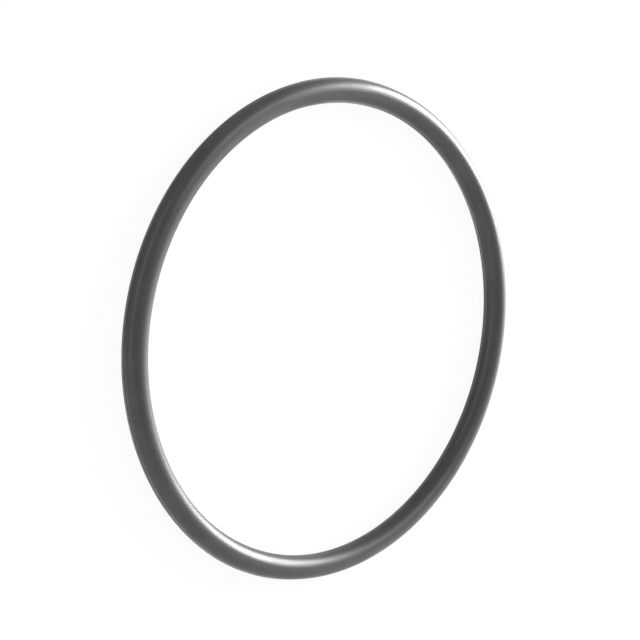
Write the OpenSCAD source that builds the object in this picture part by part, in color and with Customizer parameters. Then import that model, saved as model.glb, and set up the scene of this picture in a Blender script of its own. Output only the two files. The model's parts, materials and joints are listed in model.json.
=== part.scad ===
// Moulded rubber o-ring, lying flat. The origin is the centre of the ring and +Z is its axis.
// Sizes are those of the free ring, before it is stretched into a groove or squeezed in a gland.

/* [Ring] */
// Inside diameter of the ring, between the two nearest points of its section
inside_d = 50.0; // [3:0.1:250]
// Diameter of the round section
section_d = 2.65; // [1.02:0.01:8.4]

/* [Parting line] */
// Height of the trimmed flash that stands above the section at the inside and at the outside
flash_h = 0.04; // [0.01:0.01:0.15]
// Thickness of the trimmed flash, measured along the axis of the ring
flash_t = 0.1; // [0.04:0.01:0.3]

/* [Hidden] */

// Radius of the circle that the centre of the section runs along
centre_line_r = (inside_d + section_d) / 2;
// Width of the section across both strips of flash
flash_span = section_d + 2 * flash_h;
// Sides of every circle
round_sides = 180;

// The round section, drawn about its own centre
module rubber_section() {
    circle(d = section_d, $fn = round_sides);
}

// Where the two mould halves meet, a thin strip of flash is left at the inside and at the outside.
// One band across the middle plane gives both strips, because the section covers all but its ends.
module flash_section() {
    square([flash_span, flash_t], center = true);
}

module o_ring() {
    color([0.22, 0.22, 0.23])
    rotate_extrude($fn = round_sides)
    translate([centre_line_r, 0])
    union() {
        rubber_section();
        flash_section();
    }
}

o_ring();
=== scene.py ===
# %% [markdown]
# # A rubber o-ring, from its section to the finished picture
#
# An o-ring is about the plainest thing that is moulded in rubber: one solid ring of round section.
# That leaves nothing to hide behind. Its whole look is the way that satin rubber passes a reflection
# along a perfectly even curve, and the little that the mould left on it. This lesson builds the ring as
# a mesh, gives it a rubber made of nodes, lays it on a white table and lights it softly from all round.
#
# The first cell loads the measured model. It is the frame for everything else: its sizes are read
# here, and the piece made below has to lie exactly where it lies.

# %% Load the measured model
import json
import math

import bmesh
import bpy
from mathutils import Matrix, Vector


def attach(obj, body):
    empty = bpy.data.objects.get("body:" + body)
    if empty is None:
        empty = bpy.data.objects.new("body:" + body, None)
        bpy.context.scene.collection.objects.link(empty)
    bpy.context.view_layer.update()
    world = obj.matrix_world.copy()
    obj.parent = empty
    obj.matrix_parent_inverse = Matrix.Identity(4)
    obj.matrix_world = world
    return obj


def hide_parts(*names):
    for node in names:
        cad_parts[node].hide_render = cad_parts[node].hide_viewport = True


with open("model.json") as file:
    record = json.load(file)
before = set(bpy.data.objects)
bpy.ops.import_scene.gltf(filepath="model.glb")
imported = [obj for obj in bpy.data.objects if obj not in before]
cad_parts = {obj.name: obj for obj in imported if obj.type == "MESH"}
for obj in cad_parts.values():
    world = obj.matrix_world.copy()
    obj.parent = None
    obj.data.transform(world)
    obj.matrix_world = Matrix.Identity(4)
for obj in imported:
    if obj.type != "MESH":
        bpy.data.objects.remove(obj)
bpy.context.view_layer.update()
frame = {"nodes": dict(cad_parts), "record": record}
print("nodes in the model:", sorted(frame["nodes"]))

# %% [markdown]
# ## Sizes
#
# The model's record gives two round walls: the tops of the thin strips of flash that stand at the
# inside and at the outside of the ring. Flash is the film of rubber that creeps between the two halves
# of the mould. It is trimmed off, and a strip a few hundredths of a millimetre high stays behind. Once
# its height is known, the two walls give the section of the ring and the circle that it runs along.

# %% Read the sizes
MM = 0.001
FLASH_HEIGHT = 0.04 * MM
FLASH_THICKNESS = 0.1 * MM

walls = {mount["name"]: mount["dims"]["r_mm"] * MM for mount in frame["record"]["mounts"]}
section_d = walls["outside"] - walls["inside"] - 2 * FLASH_HEIGHT
section_r = section_d / 2
ring_r = (walls["outside"] + walls["inside"]) / 2
print(f"section {section_d / MM:.3f} mm, centre line radius {ring_r / MM:.3f} mm")

# %% [markdown]
# ## The section
#
# A curve with a round bevel or a torus primitive would give a ring in one line, but neither can carry
# the flash. So the section is drawn as a loop of points and swept by hand. The loop has four stretches:
# the strip of flash at the outside, the arc over the top, the strip at the inside and the arc below.
# A strip is a low step with rounded corners. Its height is left open here, because a trimmed edge is
# never quite even, and it will change a little as the section goes round.

# %% Draw the section
ARC_STEPS = 44
CORNER_RADIUS = 0.018 * MM
CORNER_STEPS = 3


def flash_corner(height, side):
    """Points over one rounded corner of the strip, from its flank to its top, as (out, up)."""
    for step in range(CORNER_STEPS + 1):
        turn = math.pi / 2 * step / CORNER_STEPS
        out = section_r + height - CORNER_RADIUS * (1 - math.sin(turn))
        up = FLASH_THICKNESS / 2 - CORNER_RADIUS * (1 - math.cos(turn))
        yield out, side * up


def section_points(outer_height, inner_height):
    """The closed loop of the section, as (out, up) from its centre, turning from outside to top."""
    edge_turn = math.asin(FLASH_THICKNESS / 2 / section_r)
    points = []
    for height, flip in ((outer_height, 1), (inner_height, -1)):
        rising = [(out * flip, up * flip) for out, up in flash_corner(height, -1)]
        falling = [(out * flip, up * flip) for out, up in flash_corner(height, 1)]
        points += rising + falling[::-1]
        for step in range(ARC_STEPS + 1):
            turn = edge_turn + (math.pi - 2 * edge_turn) * step / ARC_STEPS
            points.append((math.cos(turn) * section_r * flip, math.sin(turn) * section_r * flip))
    return points


loop_size = len(section_points(FLASH_HEIGHT, FLASH_HEIGHT))
print("points round the section:", loop_size)

# %% [markdown]
# ## The trimmed edge
#
# Rings are cooled and tumbled until the flash breaks off, which leaves a fine, slightly ragged edge. A
# few sine waves whose lengths share no common measure make a height that never seems to repeat. Only
# whole numbers of waves fit a ring, or the edge would jump where the ring closes on itself.

# %% Let the flash vary
RAGGED_SHARE = 0.3
OUTER_WAVES = ((23, 0.0), (61, 1.3), (149, 4.1))
INNER_WAVES = ((19, 2.2), (53, 0.4), (131, 5.0))


def flash_height(angle, waves):
    """Height of the flash at this angle round the ring: never above the nominal height."""
    ragged = sum(math.sin(count * angle + phase) for count, phase in waves) / len(waves)
    return FLASH_HEIGHT * (1 - RAGGED_SHARE * (0.5 + 0.5 * ragged))


heights = [flash_height(math.radians(degree), OUTER_WAVES) for degree in range(360)]
print(f"outer flash from {min(heights) / MM:.4f} to {max(heights) / MM:.4f} mm high")

# %% [markdown]
# ## The sweep
#
# The loop is set down 720 times round the centre line and joined into quads. At half a degree a step
# the outline is off a true circle by a quarter of a micrometre, so no corner shows even close up. Each
# quad also gets a place on a flat map: how far round the ring, and how far round the section, both in
# millimetres. The material uses that map for marks that run along the ring.
#
# The distances round the section come first. They are measured once, on a section whose flash has its
# full height, and are counted from the middle of the outer strip.

# %% Measure round the section
STRIP_STEPS = 2 * CORNER_STEPS + 1


def lengths_round(points):
    """How far along the loop each point lies, in millimetres from the middle of the outer strip."""
    steps = [math.dist(here, ahead) for here, ahead in zip(points, points[1:] + points[:1])]
    half_strip = sum(steps[:STRIP_STEPS]) / 2
    return [(sum(steps[:count]) - half_strip) / MM for count in range(loop_size + 1)]


across_mm = lengths_round(section_points(FLASH_HEIGHT, FLASH_HEIGHT))
loop_mm = across_mm[-1] - across_mm[0]
print(f"the section is {loop_mm:.2f} mm round")

# %% [markdown]
# Now the sweep itself. The quads are shaded smooth, and only where the strip of flash meets the round
# rubber is the turn sharp enough to be kept as an edge.

# %% Sweep the ring
RING_STEPS = 720
SHARP_ANGLE = math.radians(35)


def ring_mesh():
    """The o-ring as one closed mesh, with its flat map in millimetres."""
    bm = bmesh.new()
    sections = []
    for ring_step in range(RING_STEPS):
        angle = 2 * math.pi * ring_step / RING_STEPS
        outline = section_points(flash_height(angle, OUTER_WAVES), flash_height(angle, INNER_WAVES))
        sections.append([
            bm.verts.new(((ring_r + out) * math.cos(angle), (ring_r + out) * math.sin(angle), up))
            for out, up in outline
        ])
    flat_map = bm.loops.layers.uv.new("round_and_across")
    length_step = 2 * math.pi * ring_r / RING_STEPS / MM
    for ring_step in range(RING_STEPS):
        here, ahead = sections[ring_step], sections[(ring_step + 1) % RING_STEPS]
        for i in range(loop_size):
            j = (i + 1) % loop_size
            face = bm.faces.new((here[i], ahead[i], ahead[j], here[j]))
            face.smooth = True
            corners = ((ring_step, i), (ring_step + 1, i), (ring_step + 1, i + 1), (ring_step, i + 1))
            for corner, (along, across) in zip(face.loops, corners):
                corner[flat_map].uv = (along * length_step, across_mm[across])
    mesh = bpy.data.meshes.new("moulded_ring")
    bm.to_mesh(mesh)
    bm.free()
    mesh.set_sharp_from_angle(angle=SHARP_ANGLE)
    return mesh


ring = bpy.data.objects.new("moulded_ring", ring_mesh())
bpy.context.collection.objects.link(ring)
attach(ring, "root")
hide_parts("o_ring")
print("ring:", len(ring.data.vertices), "points,", len(ring.data.polygons), "quads")

# %% [markdown]
# ## Helpers for node materials
#
# A material of nodes is a small graph. Two helpers keep the lines short: one adds a node and sets its
# sockets, the other joins an output to an input. A third starts an empty material.

# %% Make node helpers


def add_node(tree, kind, settings=None, **sockets):
    """Adds a node, sets its own settings, then its sockets by name (underscore for a space)."""
    node = tree.nodes.new(kind)
    for name, value in (settings or {}).items():
        setattr(node, name, value)
    for name, value in sockets.items():
        node.inputs[name.replace("_", " ")].default_value = value
    return node


def join(tree, source, output, target, socket):
    """Links one node's output to another node's socket; each is given by name or by number."""
    tree.links.new(source.outputs[output], target.inputs[socket])


def new_material(name):
    """An empty node material with its output node."""
    material = bpy.data.materials.new(name)
    material.use_nodes = True
    material.node_tree.nodes.clear()
    output = add_node(material.node_tree, "ShaderNodeOutputMaterial")
    return material, material.node_tree, output


print("helpers: add_node, join, new_material")

# %% [markdown]
# ## What varies over the rubber
#
# A moulded surface is a cast of its mould. The mould was turned on a lathe, so fine circles run along
# the ring, and its steel was blasted to a fine grain so that the rubber lets go of it. Both are far too
# small to model, so they go into a bump. The grain is a noise in the object's own coordinates. The
# circles are a noise that reads only the distance round the section off the flat map, so that each
# line stays the same all the way round the ring, as a turned line does.
#
# The trimmed edge is the one place that never touched the mould, so it is duller than the rest. The same
# flat map tells where it is: the distance round the section is folded back and forth into four equal
# lengths, which turns it into the distance from the middle of the nearer strip. The dull rubber gives
# way to the rest just beside the strip.

# %% Make the grain, the tool marks and the dull edge
GRAIN_SIZE = 0.07 * MM
GRAIN_HEIGHT = 0.005 * MM
TOOL_MARK_PITCH_MM = 0.12
TOOL_MARK_HEIGHT = 0.0018 * MM
RELIEF_DETAIL = 2.0
EDGE_ROUGHNESS = 0.55
DULL_WITHIN_MM = 0.06
DULL_GONE_MM = 0.12
FOLDS = 4


def noise_of_size(tree, size, detail):
    """A noise with features of about this size, fixed to the object."""
    place = add_node(tree, "ShaderNodeTexCoord")
    noise = add_node(tree, "ShaderNodeTexNoise", Scale=1 / size, Detail=detail)
    join(tree, place, "Object", noise, "Vector")
    return noise


def tool_marks(tree):
    """Lines along the ring: a noise that changes only across the section."""
    flat = add_node(tree, "ShaderNodeUVMap", {"uv_map": "round_and_across"})
    across = add_node(tree, "ShaderNodeMapping", Scale=(0, 1 / TOOL_MARK_PITCH_MM, 0))
    lines = add_node(tree, "ShaderNodeTexNoise", Scale=1.0, Detail=RELIEF_DETAIL)
    join(tree, flat, "UV", across, "Vector")
    join(tree, across, "Vector", lines, "Vector")
    return lines


def dull_edge(tree):
    """The roughness of the trimmed edge on both strips, and zero on the rest of the ring."""
    flat = add_node(tree, "ShaderNodeUVMap", {"uv_map": "round_and_across"})
    split = add_node(tree, "ShaderNodeSeparateXYZ")
    from_strip = add_node(tree, "ShaderNodeMath", {"operation": "PINGPONG"})
    from_strip.inputs[1].default_value = loop_mm / FOLDS
    edge = add_node(tree, "ShaderNodeMapRange", {"interpolation_type": "SMOOTHSTEP"},
                    From_Min=DULL_WITHIN_MM, From_Max=DULL_GONE_MM, To_Min=EDGE_ROUGHNESS, To_Max=0.0)
    join(tree, flat, "UV", split, 0)
    join(tree, split, "Y", from_strip, 0)
    join(tree, from_strip, 0, edge, "Value")
    return edge


def relief(tree, pattern, height, below=None):
    """A bump that raises this pattern by this height, on top of the bump below it."""
    bump = add_node(tree, "ShaderNodeBump", Strength=1.0, Distance=height)
    join(tree, pattern, 0, bump, "Height")
    if below:
        join(tree, below, "Normal", bump, "Normal")
    return bump


print(f"grain {GRAIN_SIZE / MM} mm wide, tool marks {TOOL_MARK_PITCH_MM} mm apart")

# %% [markdown]
# ## The rubber
#
# Black rubber is coloured with soot, so hardly any light comes back out of it: what is seen is mostly
# its surface. The finish is satin, so that a window in it is a soft glow and never an image. A single
# Principled shader gives all of this. The refractive index is the same all over, so it is set on the
# shader's own socket. Three things change from place to place: the colour a little, where the soot is
# mixed in less evenly, the roughness, where fingers have polished it or the trimming has cut it, and
# the relief.

# %% Mix the rubber
RUBBER_DARK = (0.036, 0.036, 0.037, 1.0)
RUBBER_LIGHT = (0.050, 0.050, 0.051, 1.0)
RUBBER_INDEX = 1.6
POLISHED = 0.30
DULL = 0.38
CLOUD_SIZE = 2.5 * MM
CLOUD_DETAIL = 4.0
CLOUD_LOW = 0.35
CLOUD_HIGH = 0.65


def satin_rubber():
    """The ring's material."""
    material, tree, output = new_material("satin_rubber")
    shader = add_node(tree, "ShaderNodeBsdfPrincipled", IOR=RUBBER_INDEX)
    clouds = noise_of_size(tree, CLOUD_SIZE, CLOUD_DETAIL)
    colour = add_node(tree, "ShaderNodeValToRGB")
    dark_end, light_end = colour.color_ramp.elements
    dark_end.position, dark_end.color = CLOUD_LOW, RUBBER_DARK
    light_end.position, light_end.color = CLOUD_HIGH, RUBBER_LIGHT
    gloss = add_node(tree, "ShaderNodeMapRange", From_Min=CLOUD_LOW, From_Max=CLOUD_HIGH,
                     To_Min=DULL, To_Max=POLISHED)
    duller = add_node(tree, "ShaderNodeMath", {"operation": "MAXIMUM"})
    grain = relief(tree, noise_of_size(tree, GRAIN_SIZE, RELIEF_DETAIL), GRAIN_HEIGHT)
    turned = relief(tree, tool_marks(tree), TOOL_MARK_HEIGHT, below=grain)
    join(tree, clouds, 0, colour, "Fac")
    join(tree, colour, "Color", shader, "Base Color")
    join(tree, clouds, 0, gloss, "Value")
    join(tree, gloss, "Result", duller, 0)
    join(tree, dull_edge(tree), "Result", duller, 1)
    join(tree, duller, 0, shader, "Roughness")
    join(tree, turned, "Normal", shader, "Normal")
    join(tree, shader, "BSDF", output, "Surface")
    return material


ring.data.materials.append(satin_rubber())
print("rubber:", len(ring.active_material.node_tree.nodes), "nodes")

# %% [markdown]
# ## The table
#
# The ring lies on a white table. A plain disc is enough: it is far larger than the picture shows, so its
# edge is never seen, and its top touches the lowest points of the ring.

# %% Lay the table
TABLE_RADIUS = 1.5
TABLE_SIDES = 96


def table_mesh():
    """A flat disc whose top touches the lowest points of the ring."""
    bm = bmesh.new()
    under_ring = Matrix.Translation((0, 0, -section_r))
    bmesh.ops.create_circle(bm, cap_ends=True, segments=TABLE_SIDES, radius=TABLE_RADIUS, matrix=under_ring)
    mesh = bpy.data.meshes.new("table_top")
    bm.to_mesh(mesh)
    bm.free()
    return mesh


table = bpy.data.objects.new("table_top", table_mesh())
bpy.context.collection.objects.link(table)
print(f"table at {-section_r / MM:.3f} mm, {2 * TABLE_RADIUS} m across")

# %% [markdown]
# ## A table that looks white
#
# A white table in a picture is a little tricky: lit so that it is pure white, it would throw far too
# much light at the ring. The usual way is to split it by the kind of ray. Light that bounces off the
# table meets a plain pale grey paint. The camera sees a whiter mix, mostly an even glow of its own, in
# which the ring's shadow is faint, as on an overexposed sheet of paper. With distance the mix gives way
# to the glow alone, so that no horizon shows. Reflections in the ring pass through to the studio around
# it, which the next step makes, and so does a look from underneath.

# %% Make the table white
TABLE_PAINT = 0.5
SEEN_PAINT = 0.055
SEEN_GLOW = 0.94
FADE_FROM = 0.08
FADE_TO = 0.35


def grey(level):
    """A neutral colour of this brightness."""
    return level, level, level, 1.0


def mix_shaders(tree, share, share_output, first, second):
    """The second shader where the share is 1, the first where it is 0."""
    mix = add_node(tree, "ShaderNodeMixShader")
    join(tree, share, share_output, mix, 0)
    join(tree, first, 0, mix, 1)
    join(tree, second, 0, mix, 2)
    return mix


def white_table():
    """Pale grey paint for the light, a bright sheet with a faint shadow for the camera."""
    material, tree, output = new_material("white_table")
    paint = add_node(tree, "ShaderNodeBsdfDiffuse", Color=grey(TABLE_PAINT))
    seen_paint = add_node(tree, "ShaderNodeBsdfDiffuse", Color=grey(SEEN_PAINT))
    seen_glow = add_node(tree, "ShaderNodeEmission", Strength=SEEN_GLOW)
    near_sheet = add_node(tree, "ShaderNodeAddShader")
    far_sheet = add_node(tree, "ShaderNodeEmission", Strength=1.0)
    join(tree, seen_paint, 0, near_sheet, 0)
    join(tree, seen_glow, 0, near_sheet, 1)

    place = add_node(tree, "ShaderNodeTexCoord")
    distance = add_node(tree, "ShaderNodeVectorMath", {"operation": "LENGTH"})
    far = add_node(tree, "ShaderNodeMapRange", {"interpolation_type": "SMOOTHSTEP"},
                   From_Min=FADE_FROM, From_Max=FADE_TO)
    join(tree, place, "Object", distance, 0)
    join(tree, distance, "Value", far, "Value")
    sheet = mix_shaders(tree, far, 0, near_sheet, far_sheet)

    ray = add_node(tree, "ShaderNodeLightPath")
    side = add_node(tree, "ShaderNodeNewGeometry")
    clear = add_node(tree, "ShaderNodeBsdfTransparent")
    for_camera = mix_shaders(tree, ray, "Is Camera Ray", paint, sheet)
    for_gloss = mix_shaders(tree, ray, "Is Glossy Ray", for_camera, clear)
    from_above = mix_shaders(tree, side, "Backfacing", for_gloss, clear)
    join(tree, from_above, "Shader", output, "Surface")
    return material


table.data.materials.append(white_table())
print("table:", len(table.active_material.node_tree.nodes), "nodes, pure white beyond", FADE_TO, "m")

# %% [markdown]
# ## The studio around the ring
#
# Satin rubber is a mirror that has lost its focus, so most of what makes the ring look like rubber is
# the room in it. A world of nodes can be that room without a wall being built: each patch of light is
# a soft round glow, given by where it stands, how far its full strength reaches and where it has
# faded out. A glow of negative strength is a dark card. The camera itself sees plain white.

# %% Choose the glows
DIM_ROOM = 0.07
GLOWS = (
    # azimuth, elevation, full within, gone beyond (degrees), strength
    (10, 10, 60, 90, 0.9),        # white paper at the side of the ring
    (130, 5, 0, 85, 2.0),         # what the softbox spills round itself
    (105, -5, 5, 25, 3.2),        # the softbox again, in the table
    (165, 60, 10, 25, 2.9),       # a small card high at the side
    (-115, -15, 0, 50, 1.5),      # paper in front
    (-105, -25, 20, 40, -3.7),    # the gap between that paper and the next
    (0, -90, 50, 60, 0.9),        # paper underneath
    (-165, 70, 25, 60, -1.2),     # the dark of the room behind the camera
    (105, -70, 10, 30, -1.2),     # the dark beyond the ring, seen from the camera
    (105, -25, 5, 30, -1.1),      # the dark edge below the softbox
    (-85, -35, 5, 40, 0.6),       # a little of the front paper in that gap
    (180, -5, 5, 70, -1.0),       # the dark end of the room, facing the white paper
)
dark_cards = sum(1 for patch in GLOWS if patch[-1] < 0)
print("glows:", len(GLOWS) - dark_cards, "bright ones and", dark_cards, "dark cards")

# %% [markdown]
# ## From glows to a world
#
# The world is asked for its light in one direction at a time. For each glow three nodes find the angle
# between that direction and the middle of the glow, and fade its strength with the angle. The dim room
# and all the glows are added up. In a studio this white, light finds its way behind every dark card, so
# the sum is never let below half of white.

# %% Build the world
DARKEST = 0.5


def direction(azimuth, elevation):
    """The unit vector that points this many degrees round from +X and up from the table."""
    az, el = math.radians(azimuth), math.radians(elevation)
    return Vector((math.cos(el) * math.cos(az), math.cos(el) * math.sin(az), math.sin(el)))


def glow(tree, place, azimuth, elevation, full, gone, strength):
    """One soft round patch of light, as a number for every direction."""
    near = add_node(tree, "ShaderNodeVectorMath", {"operation": "DOT_PRODUCT"})
    near.inputs[1].default_value = direction(azimuth, elevation)
    angle = add_node(tree, "ShaderNodeMath", {"operation": "ARCCOSINE"})
    patch = add_node(tree, "ShaderNodeMapRange", {"interpolation_type": "SMOOTHSTEP"},
                     From_Min=math.radians(full), From_Max=math.radians(gone), To_Min=strength, To_Max=0.0)
    join(tree, place, "Generated", near, 0)
    join(tree, near, "Value", angle, 0)
    join(tree, angle, 0, patch, "Value")
    return patch


def studio_world():
    """The world: a dim room and its glows added up for the ring, plain white for the camera."""
    world = bpy.data.worlds.new("studio")
    bpy.context.scene.world = world
    world.use_nodes = True
    tree = world.node_tree
    tree.nodes.clear()
    output = add_node(tree, "ShaderNodeOutputWorld")
    place = add_node(tree, "ShaderNodeTexCoord")
    total = None
    for patch in GLOWS:
        added = add_node(tree, "ShaderNodeMath", {"operation": "ADD"})
        if total:
            join(tree, total, 0, added, 0)
        else:
            added.inputs[0].default_value = DIM_ROOM
        join(tree, glow(tree, place, *patch), "Result", added, 1)
        total = added
    lit = add_node(tree, "ShaderNodeMath", {"operation": "MAXIMUM"})
    lit.inputs[1].default_value = DARKEST
    room = add_node(tree, "ShaderNodeBackground", Color=grey(1.0))
    white = add_node(tree, "ShaderNodeBackground", Color=grey(1.0), Strength=1.0)
    ray = add_node(tree, "ShaderNodeLightPath")
    join(tree, total, 0, lit, 0)
    join(tree, lit, 0, room, "Strength")
    join(tree, mix_shaders(tree, ray, "Is Camera Ray", room, white), "Shader", output, "Surface")
    return world


studio = studio_world()
print("studio:", len(studio.node_tree.nodes), "nodes")

# %% [markdown]
# ## The lamps
#
# The one crisp band of light on the ring is a large softbox, low and behind it. It has straight edges,
# so it is an area lamp and not a glow. A long, dim strip in front draws the faint line of light along
# the near side. Both stand three metres off, which for so small a ring is as good as infinitely far: every
# part of it sees them in the same direction, and the band of light stays even all the way along. The
# strength of a lamp is easiest to think of as radiance, which is how bright its face looks: its power in
# watts is that times its area and pi.

# %% Set up the lamps
LAMP_DISTANCE = 3.0
LAMPS = (
    # name, azimuth, elevation, half width, half height (degrees), radiance
    ("softbox", 123.5, 17.5, 17.5, 17.5, 15.5),
    ("front_strip", -94, 14.5, 32.5, 7.5, 1.0),
)


def soft_lamp(name, azimuth, elevation, half_width, half_height, radiance):
    """A flat lamp that faces the ring's centre and fills these half angles as seen from it."""
    way = direction(azimuth, elevation)
    lamp = bpy.data.lights.new(name, "AREA")
    lamp.shape = "RECTANGLE"
    lamp.size = 2 * LAMP_DISTANCE * math.tan(math.radians(half_width))
    lamp.size_y = 2 * LAMP_DISTANCE * math.tan(math.radians(half_height))
    lamp.energy = radiance * math.pi * lamp.size * lamp.size_y
    holder = bpy.data.objects.new(name, lamp)
    holder.location = way * LAMP_DISTANCE
    holder.rotation_euler = way.to_track_quat("Z", "Y").to_euler()
    holder.visible_camera = False
    bpy.context.collection.objects.link(holder)
    return lamp


for lamp_values in LAMPS:
    lamp = soft_lamp(*lamp_values)
    print(f"{lamp.name}: {lamp.size:.2f} m by {lamp.size_y:.2f} m, {lamp.energy:.2f} W")

# %% [markdown]
# ## The camera
#
# The camera stands in front of the ring and looks down on it at a little under 50 degrees. It is also
# rolled over by more than a quarter turn, which sets the ring upright in the picture, although it lies
# flat. It is as close as one would hold so small a thing, so the far side of the ring looks about a
# sixth smaller than the near side. Aim, distance, tilt and roll are the driving values, and the place
# and rotation follow from them.

# %% Place the camera
SENSOR_MM = 36.0
LENS_MM = 94.3
AIM = Vector((-1.04, -2.05, 0.0)) * MM
AIM_DISTANCE = 182.5 * MM
LOOK_DOWN = math.radians(47.33)
ROLL = math.radians(101.63)
NEAREST_SEEN = 0.01

camera_data = bpy.data.cameras.new("camera")
camera_data.sensor_width = SENSOR_MM
camera_data.lens = LENS_MM
camera_data.clip_start = NEAREST_SEEN
camera = bpy.data.objects.new("camera", camera_data)
level = Matrix.Rotation(math.pi / 2 - LOOK_DOWN, 3, "X")
camera.location = AIM + level @ Vector((0, 0, AIM_DISTANCE))
camera.rotation_euler = (level @ Matrix.Rotation(ROLL, 3, "Z")).to_euler()
bpy.context.collection.objects.link(camera)
bpy.context.scene.camera = camera
bpy.context.scene.view_settings.view_transform = "Standard"
print("camera at", [round(v / MM, 1) for v in camera.location], "mm")
